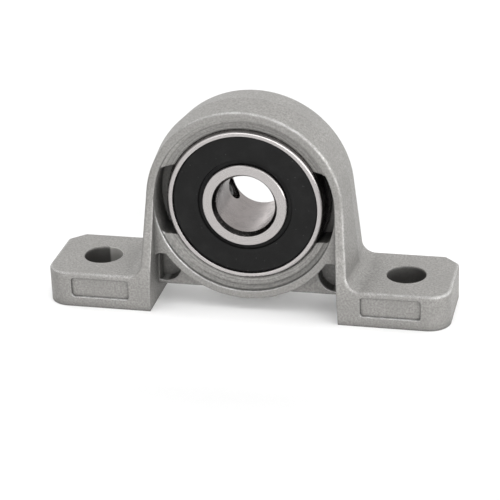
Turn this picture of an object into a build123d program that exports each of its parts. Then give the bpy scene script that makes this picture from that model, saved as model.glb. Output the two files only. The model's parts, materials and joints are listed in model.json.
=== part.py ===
from build123d import *

import os
from math import asin, atan, cos, pi, radians, sin, sqrt

# Pillow block bearing for an 8 mm shaft: a die-cast two-bolt housing and a sealed,
# ball-shaped bearing insert that swivels in it and grips the shaft with two set screws.
#
# Frame: the origin lies on the mounting plane, midway between the two bolt holes.
# +X runs along the feet, +Y from the insert's flush face to its collar, +Z up.
# All sizes are millimetres.

# ---- Housing: driving dimensions -------------------------------------------------
SHAFT_HEIGHT = 15.0
HOUSING_LENGTH = 55.0
FOOT_DEPTH = 13.0
FOOT_THICKNESS = 4.9
FOOT_FRONT_ROUNDING = 3.0
FOOT_REAR_CORNER = 2.0
FOOT_REAR_ROUNDING = 0.5
BOLT_SPACING = 42.0
BOLT_HOLE_RADIUS = 2.65
BOLT_HOLE_ROUNDING = 0.1

ARCH_OUTER_RADIUS = 13.7
ARCH_INNER_RADIUS = 12.2
ARCH_DRAFT = 5.5
PARTING_DEPTH = 0.45
RING_OUTER_RADIUS = 13.2
LEG_OUTER_SPLAY = 0.096
LEG_INNER_SPLAY = 0.042
LEG_ROOT_FILLET = 1.9
OUTER_EDGE_ROUNDING = 0.35

RIM_FRONT = -4.05
RIM_REAR = 4.9
LEAN_START_HEIGHT = 4.9
LEAN_END_HEIGHT = 16.0
LEAN_BLEND_RADIUS = 12.0

WEB_FRONT = -2.0
WEB_REAR = 1.8
WEB_BOTTOM = 2.2
WEB_POCKET_CEILING = 7.6
WEB_POCKET_CORNER = 0.8
WEB_RECESS_X = 11.8
WEB_RECESS_Z = 4.95
WEB_RECESS_RADIUS = 2.35
WEB_RECESS_DEPTH = 1.9
WEB_RECESS_RIM = 0.15

SEAT_CLEARANCE = 0.03
SEAT_LIP_FRONT = -2.95
SEAT_LIP_REAR = 3.2
RIM_STEP_DEPTH = 0.55
DISH_BEND_INNER_RADIUS = 11.5
DISH_BEND_OUTER_RADIUS = 11.7
DISH_INNER_RISE = 0.12
DISH_OUTER_RISE = 0.35

NOTCH_MIDDLE_HEIGHT = 15.1
NOTCH_HALF_HEIGHT = 4.6
NOTCH_EDGE_SLOPE = 0.24
NOTCH_FLOOR = 0.25
NOTCH_CORNER = 0.8

LABEL_POCKET_LENGTH = 8.0
LABEL_POCKET_HEIGHT = 2.75
LABEL_POCKET_DEPTH = 0.3
LABEL_POCKET_CORNER = 0.4
LABEL_POCKET_X = 19.8
LABEL_POCKET_Z = 2.8

# ---- Bearing insert: driving dimensions ------------------------------------------
INSERT_SPHERE_RADIUS = 11.0
RING_WIDTH = 7.0
RING_CORNER = 0.4
SHAFT_BORE_RADIUS = 4.0
BORE_RIM_RADIUS = 4.4
BORE_LEAD_IN = 0.7
BORE_FAR_CHAMFER = 0.4
COLLAR_END = 7.5
INNER_LAND_RADIUS = 6.05
INNER_LAND_END = 2.3
SEAL_TRACK_RADIUS = 5.73
SEAL_TRACK_START = 2.5
SEAL_TRACK_END = 3.3
COLLAR_START = 3.45
COLLAR_EDGE_BREAK = 0.25
FACE_EDGE_BREAK = 0.12
OUTER_LAND_RADIUS = 9.05
OUTER_LAND_END = 2.2
SEAL_GROOVE_RADIUS = 10.0
SEAL_GROOVE_START = 2.35
SEAL_GROOVE_END = 2.6
SEAL_SEAT_RADIUS = 9.8
SEAL_SEAT_START = 2.75

BALL_COUNT = 7
BALL_RADIUS = 3.969 / 2
BALL_PITCH_RADIUS = 7.5
RACEWAY_RADIUS = 2.06

CAGE_THICKNESS = 0.22
CAGE_INNER_RADIUS = 6.75
CAGE_OUTER_RADIUS = 8.25
CAGE_POCKET_CLEARANCE = 0.075
CAGE_SPLIT_GAP = 0.01
RIVET_RADIUS = 0.3
RIVET_HEAD_RADIUS = 0.48
RIVET_HEAD_HEIGHT = 0.18

SEAL_FACE = 3.2
SEAL_BACK = 2.4
SEAL_FIT_CLEARANCE = 0.03
SEAL_EDGE_BREAK = 0.15
SEAL_LIP_CLEARANCE = 0.05
SEAL_LIP_BACK = 2.65
SEAL_LIP_FACE = 2.85
SEAL_LIP_LENGTH = 0.5
SEAL_LIP_STEP = 0.12
SEAL_BACK_LEDGE = 0.3
SEAL_CORE_THICKNESS = 0.25
SEAL_CORE_MARGIN_OUT = 0.3
SEAL_CORE_MARGIN_IN = 0.85

SCREW_RADIUS = 1.45
SCREW_HOLE_RADIUS = 1.5
SCREW_HOLE_MOUTH_DEPTH = 0.3
SCREW_LENGTH = 3.0
SCREW_TIP_DISTANCE = 4.3
SCREW_SOCKET_ACROSS_FLATS = 1.5
SCREW_SOCKET_DEPTH = 1.2
SCREW_TIP_CHAMFER = 0.6
SCREW_TOP_CHAMFER = 0.2
SCREW_CUP_RADIUS = 0.6
SCREW_CUP_DEPTH = 0.45
SCREW_Y = 5.6
SCREW_ANGLES = (-157.0, 83.0)

# ---- Derived ----------------------------------------------------------------------
HALF_LENGTH = HOUSING_LENGTH / 2
HALF_DEPTH = FOOT_DEPTH / 2
HALF_WIDTH = RING_WIDTH / 2
SEAT_RADIUS = INSERT_SPHERE_RADIUS + SEAT_CLEARANCE
RING_BOTTOM = SHAFT_HEIGHT - RING_OUTER_RADIUS
SMALL = 0.01
MOST_DRAFT = sin(radians(ARCH_DRAFT)) + SMALL
SHAFT_CENTRE = Vector(0, 0, SHAFT_HEIGHT)
SHAFT_AXIS = Axis((0, 0, SHAFT_HEIGHT), (0, 1, 0))
STANDING = (Align.CENTER, Align.CENTER, Align.MIN)


# ---- Shared ways of making solids ----------------------------------------------------
def front_slab(outline, y_front, y_rear):
    """Solid between two depths, from an outline drawn in the front view (X right, Z up)."""
    plane = Plane(origin=(0, y_rear, 0), x_dir=(1, 0, 0), z_dir=(0, -1, 0))
    return extrude(plane * outline, y_rear - y_front)


def polygon(*points):
    """Filled outline through the points."""
    return make_face(Polyline(*points, close=True))


def turned(profile):
    """Solid of revolution about the shaft axis, from a profile of (radius, y) lines and arcs."""
    return revolve(Pos(0, 0, SHAFT_HEIGHT) * make_face(profile), SHAFT_AXIS)


def turned_polygon(*points):
    """Solid of revolution about the shaft axis, from straight (radius, y) sides."""
    return turned(Polyline(*points, close=True))


def round_outline(radius):
    """Circle about the shaft in the front view."""
    return Pos(0, SHAFT_HEIGHT) * Circle(radius)


def mirrored_pair(solid):
    """The solid and its mirror image across the middle of the housing."""
    return solid + mirror(solid, Plane.YZ)


# ---- Housing --------------------------------------------------------------------------
def leg_line(arch_radius, splay):
    """Where a leaning leg line leaves its arch, and its distance from the middle at any height."""
    lean = atan(splay)
    tangent_x = arch_radius * cos(lean)
    tangent_z = SHAFT_HEIGHT + arch_radius * sin(lean)
    return tangent_x, tangent_z, lambda z: tangent_x + (tangent_z - z) * splay


def arch_and_legs():
    """Arch and splayed legs without their hollow, widest at the parting line halfway back."""
    arch_x, arch_z, outer_at = leg_line(ARCH_OUTER_RADIUS, LEG_OUTER_SPLAY)
    top = (0, SHAFT_HEIGHT + ARCH_OUTER_RADIUS)
    low = -FOOT_THICKNESS
    low_x = outer_at(low)
    edge = (
        Polyline((arch_x, arch_z), (low_x, low), (-low_x, low), (-arch_x, arch_z))
        + ThreePointArc((-arch_x, arch_z), top, (arch_x, arch_z))
    )
    parting = Plane(origin=(0, PARTING_DEPTH, 0), x_dir=(1, 0, 0), z_dir=(0, -1, 0))
    front = extrude(parting * make_face(edge), HALF_DEPTH + PARTING_DEPTH)
    sides = front.faces().filter_by(lambda face: abs(face.normal_at().Y) < SMALL)
    front = draft(sides, parting, ARCH_DRAFT)
    return front + mirror(front, parting)


def leaning_sides():
    """Side view of the casting: upright at the feet, then leaning in to the narrower rim."""
    plane = Plane(origin=(-HALF_LENGTH, 0, 0), x_dir=(0, 1, 0), z_dir=(1, 0, 0))
    top = SHAFT_HEIGHT + ARCH_OUTER_RADIUS + 1
    side = polygon(
        (-HALF_DEPTH, 0),
        (HALF_DEPTH, 0),
        (HALF_DEPTH, LEAN_START_HEIGHT),
        (RIM_REAR, LEAN_END_HEIGHT),
        (RIM_REAR, top),
        (RIM_FRONT, top),
        (RIM_FRONT, LEAN_END_HEIGHT),
        (-HALF_DEPTH, LEAN_START_HEIGHT),
    )
    bends = side.vertices().filter_by(lambda v: 0 < v.Y < top - 0.5)
    return extrude(plane * fillet(bends, LEAN_BLEND_RADIUS), HOUSING_LENGTH)


def plan_outline():
    """Top view of the casting: a long rectangle, round at the front corners, cut at the rear ones."""
    rear_x = HALF_LENGTH - FOOT_REAR_CORNER
    rear_y = HALF_DEPTH - FOOT_REAR_CORNER
    outline = polygon(
        (-HALF_LENGTH, -HALF_DEPTH),
        (HALF_LENGTH, -HALF_DEPTH),
        (HALF_LENGTH, rear_y),
        (rear_x, HALF_DEPTH),
        (-rear_x, HALF_DEPTH),
        (-HALF_LENGTH, rear_y),
    )
    outline = fillet(outline.vertices().filter_by(lambda v: v.Y > 0), FOOT_REAR_ROUNDING)
    return fillet(outline.vertices().group_by(Axis.Y)[0], FOOT_FRONT_ROUNDING)


def gap_under_ring():
    """Front view of the open space between the legs, below the ring and its webs."""
    _, _, inner_at = leg_line(ARCH_INNER_RADIUS, LEG_INNER_SPLAY)
    top_x = inner_at(WEB_BOTTOM)
    low_x = inner_at(-FOOT_THICKNESS)
    gap = polygon(
        (-low_x, -FOOT_THICKNESS),
        (low_x, -FOOT_THICKNESS),
        (top_x, WEB_BOTTOM),
        (-top_x, WEB_BOTTOM),
    )
    return gap - round_outline(RING_OUTER_RADIUS)


def outer_casting():
    """Casting before anything is cut into it, with its outer edges rounded front and rear."""
    feet = Pos(0, 0, FOOT_THICKNESS / 2) * Box(HOUSING_LENGTH, FOOT_DEPTH, FOOT_THICKNESS)
    body = feet + arch_and_legs()
    roots = [
        edge
        for edge in body.edges()
        if abs(edge.center().Z - FOOT_THICKNESS) < SMALL
        and abs(edge.center().X) < BOLT_SPACING / 2
        and abs(edge.center().Y) < HALF_DEPTH - SMALL
    ]
    body = fillet(roots, LEG_ROOT_FILLET)
    body = body & leaning_sides()
    body = body & extrude(plan_outline(), SHAFT_HEIGHT + ARCH_OUTER_RADIUS)
    body = body - front_slab(gap_under_ring(), -HALF_DEPTH - 1, HALF_DEPTH + 1)
    swept = body.faces().filter_by(
        lambda face: abs(face.normal_at().Y) < MOST_DRAFT and face.center().Z > FOOT_THICKNESS - SMALL
    )
    edges = [edge for face in swept for edge in face.edges()]
    rims = [edge for edge in edges if sum(edge.is_same(other) for other in edges) == 1]
    return fillet(rims, OUTER_EDGE_ROUNDING)


def inside_of_arch(z_bottom):
    """Front view of the space inside the legs and the arch, down to a height."""
    arch_x, arch_z, inner_at = leg_line(ARCH_INNER_RADIUS, LEG_INNER_SPLAY)
    top = (0, SHAFT_HEIGHT + ARCH_INNER_RADIUS)
    bottom_x = inner_at(z_bottom)
    edge = (
        Polyline((arch_x, arch_z), (bottom_x, z_bottom), (-bottom_x, z_bottom), (-arch_x, arch_z))
        + ThreePointArc((-arch_x, arch_z), top, (arch_x, arch_z))
    )
    return make_face(edge)


def web_pockets(y_front, y_rear):
    """Pockets either side of the ring, open below, that leave a thin web between ring and leg."""
    _, _, inner_at = leg_line(ARCH_INNER_RADIUS, LEG_INNER_SPLAY)
    bottom = RING_BOTTOM - 1
    outline = polygon(
        (0, bottom),
        (inner_at(bottom), bottom),
        (inner_at(WEB_POCKET_CEILING), WEB_POCKET_CEILING),
        (0, WEB_POCKET_CEILING),
    )
    corner = outline.vertices().sort_by(Axis.X).filter_by(lambda v: v.Y > WEB_POCKET_CEILING - SMALL)[-1]
    outline = fillet(corner, WEB_POCKET_CORNER)
    pocket = front_slab(outline - round_outline(RING_OUTER_RADIUS), y_front, y_rear)
    return mirrored_pair(pocket)


def web_recesses(y_front, y_rear):
    """Round recesses that lighten the webs, with a thin rim left along the leg."""
    _, _, inner_at = leg_line(ARCH_INNER_RADIUS, LEG_INNER_SPLAY)
    high = WEB_RECESS_Z + WEB_RECESS_RADIUS + 1
    low = WEB_RECESS_Z - WEB_RECESS_RADIUS - 1
    room = polygon(
        (0, low),
        (inner_at(low) - WEB_RECESS_RIM, low),
        (inner_at(high) - WEB_RECESS_RIM, high),
        (0, high),
    )
    disc = Pos(WEB_RECESS_X, WEB_RECESS_Z) * Circle(WEB_RECESS_RADIUS)
    recess = (disc & room) - round_outline(RING_OUTER_RADIUS)
    return mirrored_pair(front_slab(recess, y_front, y_rear))


def bearing_seat():
    """Ball-shaped seat with a two-stage dished face and a short step up to the rim at each side."""
    front_lip = sqrt(SEAT_RADIUS**2 - SEAT_LIP_FRONT**2)
    rear_lip = sqrt(SEAT_RADIUS**2 - SEAT_LIP_REAR**2)
    profile = (
        Polyline(
            (front_lip, SEAT_LIP_FRONT),
            (DISH_BEND_INNER_RADIUS, SEAT_LIP_FRONT - DISH_INNER_RISE),
            (DISH_BEND_OUTER_RADIUS, SEAT_LIP_FRONT - DISH_OUTER_RISE),
            (ARCH_INNER_RADIUS, RIM_FRONT + RIM_STEP_DEPTH),
            (ARCH_INNER_RADIUS, -HALF_DEPTH - 1),
            (0, -HALF_DEPTH - 1),
            (0, HALF_DEPTH + 1),
            (ARCH_INNER_RADIUS, HALF_DEPTH + 1),
            (ARCH_INNER_RADIUS, RIM_REAR - RIM_STEP_DEPTH),
            (DISH_BEND_OUTER_RADIUS, SEAT_LIP_REAR + DISH_OUTER_RISE),
            (DISH_BEND_INNER_RADIUS, SEAT_LIP_REAR + DISH_INNER_RISE),
            (rear_lip, SEAT_LIP_REAR),
        )
        + ThreePointArc((rear_lip, SEAT_LIP_REAR), (SEAT_RADIUS, 0), (front_lip, SEAT_LIP_FRONT))
    )
    return turned(profile)


def loading_notches():
    """Slots at both sides of the front rim, through which the insert goes in edge-on."""
    inner_x = INSERT_SPHERE_RADIUS * 0.7
    outer_x = ARCH_INNER_RADIUS
    low = NOTCH_HALF_HEIGHT - NOTCH_EDGE_SLOPE * (outer_x - INSERT_SPHERE_RADIUS)
    high = NOTCH_HALF_HEIGHT + NOTCH_EDGE_SLOPE * (INSERT_SPHERE_RADIUS - inner_x)
    shape = polygon((inner_x, -high), (outer_x + 1, -low), (outer_x + 1, low), (inner_x, high))
    shape = (Pos(0, NOTCH_MIDDLE_HEIGHT) * shape) & round_outline(ARCH_INNER_RADIUS)
    outer_corners = shape.vertices().filter_by(lambda v: v.X > INSERT_SPHERE_RADIUS * 0.9)
    shape = fillet(outer_corners, NOTCH_CORNER)
    return mirrored_pair(front_slab(shape, -HALF_DEPTH, NOTCH_FLOOR))


def label_pockets():
    """Shallow bare pockets on the front faces of the feet."""
    shape = Pos(LABEL_POCKET_X, LABEL_POCKET_Z) * RectangleRounded(
        LABEL_POCKET_LENGTH, LABEL_POCKET_HEIGHT, LABEL_POCKET_CORNER
    )
    return mirrored_pair(front_slab(shape, -HALF_DEPTH - 1, -HALF_DEPTH + LABEL_POCKET_DEPTH))


def bolt_holes():
    """Holes down through both feet, rounded at the upper rim, as cutters."""
    rim = BOLT_HOLE_RADIUS + BOLT_HOLE_ROUNDING
    rim_bottom = FOOT_THICKNESS - BOLT_HOLE_ROUNDING
    bulge = BOLT_HOLE_ROUNDING * sqrt(0.5)
    wall_top = (BOLT_HOLE_RADIUS, rim_bottom)
    mouth = (rim, FOOT_THICKNESS)
    profile = (
        Polyline(
            mouth,
            (0, FOOT_THICKNESS),
            (0, -1),
            (BOLT_HOLE_RADIUS, -1),
            wall_top,
        )
        + ThreePointArc(wall_top, (rim - bulge, rim_bottom + bulge), mouth)
    )
    hole = revolve(Plane.XZ * make_face(profile), Axis.Z)
    return mirrored_pair(Pos(BOLT_SPACING / 2, 0, 0) * hole)


def housing():
    """Die-cast housing."""
    body = outer_casting()
    inside = inside_of_arch(RING_BOTTOM - 1)
    body = body - front_slab(inside, -HALF_DEPTH - 1, RIM_FRONT)
    body = body - front_slab(inside, RIM_REAR, HALF_DEPTH + 1)
    body = body - web_pockets(RIM_FRONT - 1, WEB_FRONT)
    body = body - web_pockets(WEB_REAR, RIM_REAR + 1)
    body = body - web_recesses(WEB_FRONT - 1, WEB_FRONT + WEB_RECESS_DEPTH)
    body = body - bearing_seat()
    body = body - loading_notches()
    body = body - label_pockets()
    return body - bolt_holes()


# ---- Bearing insert -------------------------------------------------------------------
def raceway_edge(land_radius):
    """Half-width of the ball groove where it meets a ring's land."""
    return sqrt(RACEWAY_RADIUS**2 - (BALL_PITCH_RADIUS - land_radius) ** 2)


def in_front(point):
    """The (radius, y) point mirrored to the other side of the ball plane."""
    radius, y = point
    return radius, -y


def ring_corner():
    """Round corner between the outer ring's ball-shaped outside and its face: start, middle, end."""
    centre_y = HALF_WIDTH - RING_CORNER
    centre_radius = sqrt((INSERT_SPHERE_RADIUS - RING_CORNER) ** 2 - centre_y**2)
    sphere_angle = asin(centre_y / (INSERT_SPHERE_RADIUS - RING_CORNER))
    middle_angle = (sphere_angle + pi / 2) / 2
    start = (INSERT_SPHERE_RADIUS * cos(sphere_angle), INSERT_SPHERE_RADIUS * sin(sphere_angle))
    middle = (centre_radius + RING_CORNER * cos(middle_angle), centre_y + RING_CORNER * sin(middle_angle))
    return start, middle, (centre_radius, HALF_WIDTH)


def outer_ring():
    """Outer ring: ball-shaped outside, ball groove and two seal grooves inside."""
    groove = raceway_edge(OUTER_LAND_RADIUS)
    sphere_end, corner_middle, face_start = ring_corner()
    rear = [
        face_start,
        (SEAL_SEAT_RADIUS, HALF_WIDTH),
        (SEAL_SEAT_RADIUS, SEAL_SEAT_START),
        (SEAL_GROOVE_RADIUS, SEAL_GROOVE_END),
        (SEAL_GROOVE_RADIUS, SEAL_GROOVE_START),
        (OUTER_LAND_RADIUS, OUTER_LAND_END),
        (OUTER_LAND_RADIUS, groove),
    ]
    front = [in_front(point) for point in rear]
    profile = (
        ThreePointArc(sphere_end, corner_middle, face_start)
        + Polyline(*rear)
        + ThreePointArc(rear[-1], (BALL_PITCH_RADIUS + RACEWAY_RADIUS, 0), front[-1])
        + Polyline(*reversed(front))
        + ThreePointArc(front[0], in_front(corner_middle), in_front(sphere_end))
        + ThreePointArc(in_front(sphere_end), (INSERT_SPHERE_RADIUS, 0), sphere_end)
    )
    return turned(profile)


def inner_ring():
    """Inner ring: shaft bore, ball groove, seal tracks, and the long collar with its tapped holes."""
    groove = raceway_edge(INNER_LAND_RADIUS)
    profile = (
        Polyline(
            (INNER_LAND_RADIUS, groove),
            (INNER_LAND_RADIUS, INNER_LAND_END),
            (SEAL_TRACK_RADIUS, SEAL_TRACK_START),
            (SEAL_TRACK_RADIUS, SEAL_TRACK_END),
            (INNER_LAND_RADIUS, COLLAR_START),
            (INNER_LAND_RADIUS, COLLAR_END - COLLAR_EDGE_BREAK),
            (INNER_LAND_RADIUS - COLLAR_EDGE_BREAK, COLLAR_END),
            (BORE_RIM_RADIUS, COLLAR_END),
            (SHAFT_BORE_RADIUS, COLLAR_END - BORE_FAR_CHAMFER),
            (SHAFT_BORE_RADIUS, -HALF_WIDTH + BORE_LEAD_IN),
            (BORE_RIM_RADIUS, -HALF_WIDTH),
            (SEAL_TRACK_RADIUS - FACE_EDGE_BREAK, -HALF_WIDTH),
            (SEAL_TRACK_RADIUS, -HALF_WIDTH + FACE_EDGE_BREAK),
            (SEAL_TRACK_RADIUS, -SEAL_TRACK_START),
            (INNER_LAND_RADIUS, -INNER_LAND_END),
            (INNER_LAND_RADIUS, -groove),
        )
        + ThreePointArc(
            (INNER_LAND_RADIUS, -groove), (BALL_PITCH_RADIUS - RACEWAY_RADIUS, 0), (INNER_LAND_RADIUS, groove)
        )
    )
    ring = turned(profile)
    hole = Cylinder(SCREW_HOLE_RADIUS, INNER_LAND_RADIUS + 1, align=STANDING)
    flare = 2 * SCREW_HOLE_MOUTH_DEPTH
    mouth = Cone(SCREW_HOLE_RADIUS, SCREW_HOLE_RADIUS + flare, flare, align=STANDING)
    for angle in SCREW_ANGLES:
        ring = ring - screw_frame(angle) * hole
        ring = ring - screw_frame(angle) * Pos(0, 0, INNER_LAND_RADIUS - SCREW_HOLE_MOUTH_DEPTH) * mouth
    return ring


def ball_centre(index):
    """Centre of one ball on the pitch circle."""
    angle = 2 * pi * index / BALL_COUNT + pi / 2
    return SHAFT_CENTRE + Vector(BALL_PITCH_RADIUS * cos(angle), 0, BALL_PITCH_RADIUS * sin(angle))


def ball(index):
    """One ball."""
    return Pos(*ball_centre(index)) * Rot(-90, 0, 0) * Sphere(BALL_RADIUS)


def cage_cup(index, radius):
    """Round bar through one ball, square to the shaft, that shapes the inside or outside of a cup."""
    outward = ball_centre(index) - SHAFT_CENTRE
    length = 4 * (CAGE_OUTER_RADIUS - CAGE_INNER_RADIUS)
    return Location(Plane(origin=ball_centre(index), z_dir=outward)) * Cylinder(radius, length)


def rivet_place(index):
    """Place of one rivet, midway between two balls, with its axis along the shaft."""
    angle = 2 * pi * (index + 0.5) / BALL_COUNT + pi / 2
    middle = SHAFT_CENTRE + Vector(BALL_PITCH_RADIUS * cos(angle), 0, BALL_PITCH_RADIUS * sin(angle))
    return Pos(*middle) * Rot(-90, 0, 0)


def cage_band(y_front):
    """Flat ring of the cage's width, from its split face forward to a depth."""
    return turned_polygon(
        (CAGE_INNER_RADIUS, -CAGE_SPLIT_GAP),
        (CAGE_OUTER_RADIUS, -CAGE_SPLIT_GAP),
        (CAGE_OUTER_RADIUS, y_front),
        (CAGE_INNER_RADIUS, y_front),
    )


def front_cage_half():
    """Pressed half of the cage: a flat band that bulges into a half-round cup over each ball."""
    pocket = BALL_RADIUS + CAGE_POCKET_CLEARANCE
    half = cage_band(-CAGE_THICKNESS - CAGE_SPLIT_GAP)
    reach = cage_band(-HALF_WIDTH)
    for index in range(BALL_COUNT):
        half = half + (cage_cup(index, pocket + CAGE_THICKNESS) & reach)
    for index in range(BALL_COUNT):
        half = half - cage_cup(index, pocket)
        half = half - rivet_place(index) * Cylinder(RIVET_RADIUS, 2)
    return half


def cage_rivet(index):
    """Rivet with a low head on each face of the closed cage."""
    grip = CAGE_THICKNESS + CAGE_SPLIT_GAP
    shank = Cylinder(RIVET_RADIUS, 2 * grip)
    head = Cylinder(RIVET_HEAD_RADIUS, RIVET_HEAD_HEIGHT)
    offset = grip + RIVET_HEAD_HEIGHT / 2
    return rivet_place(index) * (shank + Pos(0, 0, offset) * head + Pos(0, 0, -offset) * head)


def rear_seal():
    """Rubber seal: a bead in the outer ring's groove, a face, and a lip close to the inner ring."""
    lip = SEAL_TRACK_RADIUS + SEAL_LIP_CLEARANCE
    lip_root = lip + SEAL_LIP_LENGTH
    rim = SEAL_SEAT_RADIUS - SEAL_FIT_CLEARANCE
    bead = SEAL_GROOVE_RADIUS - SEAL_FIT_CLEARANCE
    core_outer, core_inner = seal_core_radii()
    core_face = SEAL_BACK + SEAL_CORE_THICKNESS
    return turned_polygon(
        (lip, SEAL_LIP_BACK),
        (lip, SEAL_LIP_FACE),
        (lip_root, SEAL_LIP_FACE),
        (lip_root + SEAL_LIP_STEP, SEAL_FACE),
        (rim - SEAL_EDGE_BREAK, SEAL_FACE),
        (rim, SEAL_FACE - SEAL_EDGE_BREAK),
        (rim, SEAL_SEAT_START - SEAL_FIT_CLEARANCE),
        (bead, SEAL_GROOVE_END - SEAL_FIT_CLEARANCE),
        (bead, SEAL_BACK),
        (core_outer, SEAL_BACK),
        (core_outer, core_face),
        (core_inner, core_face),
        (core_inner, SEAL_BACK),
        (core_inner - SEAL_BACK_LEDGE, SEAL_BACK),
    )


def seal_core_radii():
    """Outer and inner radius of the steel disc in a seal."""
    return SEAL_SEAT_RADIUS - SEAL_CORE_MARGIN_OUT, SEAL_TRACK_RADIUS + SEAL_CORE_MARGIN_IN


def rear_seal_core():
    """Steel disc that stiffens the rear seal, bare on its inner face."""
    core_outer, core_inner = seal_core_radii()
    core_face = SEAL_BACK + SEAL_CORE_THICKNESS
    return turned_polygon(
        (core_outer, SEAL_BACK), (core_outer, core_face), (core_inner, core_face), (core_inner, SEAL_BACK)
    )


# ---- Set screws -----------------------------------------------------------------------
def screw_frame(angle):
    """Place on the shaft axis whose Z runs outward along a set screw."""
    return Location(
        Plane(
            origin=SHAFT_CENTRE + Vector(0, SCREW_Y, 0),
            x_dir=(0, 1, 0),
            z_dir=(cos(radians(angle)), 0, sin(radians(angle))),
        )
    )


def set_screw(angle):
    """Socket set screw with a cup point, its tip a little short of the shaft."""
    body = Cylinder(SCREW_RADIUS, SCREW_LENGTH, align=STANDING)
    tip_edge = body.edges().filter_by(GeomType.CIRCLE).sort_by(Axis.Z)[0]
    body = chamfer(tip_edge, SCREW_TIP_CHAMFER)
    top_edge = body.edges().filter_by(GeomType.CIRCLE).sort_by(Axis.Z)[-1]
    body = chamfer(top_edge, SCREW_TOP_CHAMFER)
    cup = Cone(SCREW_CUP_RADIUS, 0, SCREW_CUP_DEPTH, align=STANDING)
    socket_radius = SCREW_SOCKET_ACROSS_FLATS / sqrt(3)
    socket = Pos(0, 0, SCREW_LENGTH - SCREW_SOCKET_DEPTH) * extrude(
        RegularPolygon(socket_radius, 6), SCREW_SOCKET_DEPTH + 1
    )
    return screw_frame(angle) * Pos(0, 0, SCREW_TIP_DISTANCE) * (body - cup - socket)


# ---- The parts, one file each ---------------------------------------------------------
def build_parts():
    """All sub-parts by node name."""
    front = front_cage_half()
    seal = rear_seal()
    core = rear_seal_core()
    parts = {
        "housing": housing(),
        "outer_ring": outer_ring(),
        "inner_ring": inner_ring(),
        "cage_front": front,
        "cage_rear": mirror(front, Plane.XZ),
        "seal_front": mirror(seal, Plane.XZ),
        "seal_rear": seal,
        "seal_front_core": mirror(core, Plane.XZ),
        "seal_rear_core": core,
    }
    for index in range(BALL_COUNT):
        parts[f"ball_{index + 1}"] = ball(index)
        parts[f"cage_rivet_{index + 1}"] = cage_rivet(index)
    for number, angle in enumerate(SCREW_ANGLES, start=1):
        parts[f"set_screw_{number}"] = set_screw(angle)
    return parts


os.makedirs("parts", exist_ok=True)
for node, shape in build_parts().items():
    export_step(shape, f"parts/{node}.step")
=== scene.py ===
"""Finishes, set screws and studio for a small die-cast pillow block bearing.

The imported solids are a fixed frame. This script dresses each of them, puts
threaded set screws in place of the two plain ones, and lights the part in a
white tent. Lengths are metres, except in names that hold _mm. The finishes
find their place on a piece in millimetres, from the middle of the underside.
"""

import json
import logging
from dataclasses import dataclass, field
from enum import Enum
from math import cos, pi, radians, sin
from typing import Callable, Iterable, Optional, Union

import bmesh
import bpy
from mathutils import Matrix, Vector

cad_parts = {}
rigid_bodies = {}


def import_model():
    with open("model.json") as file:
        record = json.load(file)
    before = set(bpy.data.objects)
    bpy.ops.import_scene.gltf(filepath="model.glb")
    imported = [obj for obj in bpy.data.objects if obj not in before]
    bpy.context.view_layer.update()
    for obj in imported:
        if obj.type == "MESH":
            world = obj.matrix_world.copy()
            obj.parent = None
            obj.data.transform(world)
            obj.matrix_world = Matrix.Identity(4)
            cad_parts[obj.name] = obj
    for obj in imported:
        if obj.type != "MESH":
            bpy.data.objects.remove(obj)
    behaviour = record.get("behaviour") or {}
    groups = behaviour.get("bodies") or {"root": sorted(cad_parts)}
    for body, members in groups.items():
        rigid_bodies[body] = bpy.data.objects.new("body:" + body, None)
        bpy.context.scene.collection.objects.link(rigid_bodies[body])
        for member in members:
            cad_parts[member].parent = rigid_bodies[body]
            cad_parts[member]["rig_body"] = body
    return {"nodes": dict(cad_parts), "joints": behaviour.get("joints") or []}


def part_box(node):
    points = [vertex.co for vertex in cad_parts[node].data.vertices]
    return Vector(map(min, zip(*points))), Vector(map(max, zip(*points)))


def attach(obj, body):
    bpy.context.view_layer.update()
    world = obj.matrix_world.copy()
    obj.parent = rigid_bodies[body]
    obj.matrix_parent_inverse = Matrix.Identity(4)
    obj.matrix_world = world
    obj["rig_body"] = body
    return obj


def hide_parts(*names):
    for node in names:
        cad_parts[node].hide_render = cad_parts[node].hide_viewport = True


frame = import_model()

MM = 0.001
PER_MM = 1 / MM
SHAFT_HEIGHT_MM = 15.0
NOISE_SPAN = (0.3, 0.7)
WHITE = (1.0, 1.0, 1.0)
log = logging.getLogger("pillow_block")

Socket = bpy.types.NodeSocket
Value = Union[float, tuple, Socket]
Pair = tuple[float, float]
Triple = tuple[float, float, float]
Colour = tuple[float, float, float, float]


class Slot(Enum):
    """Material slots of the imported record."""

    CAST_ZINC = "cast_zinc"
    BEARING_STEEL = "bearing_steel"
    BALL_STEEL = "ball_steel"
    CAGE_STEEL = "cage_steel"
    SEAL_RUBBER = "seal_rubber"
    BLACK_STEEL = "black_steel"


def unit(direction: Triple) -> Triple:
    """A direction as a vector of length 1."""
    return tuple(Vector(direction).normalized())


def shade(level: float, tint: Triple = WHITE) -> Colour:
    """A colour near grey.

    Args:
        level: Its brightness in linear light.
        tint: What each of red, green and blue is multiplied by.

    Returns:
        Red, green, blue and alpha.
    """
    return (*(level * share for share in tint), 1.0)


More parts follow.
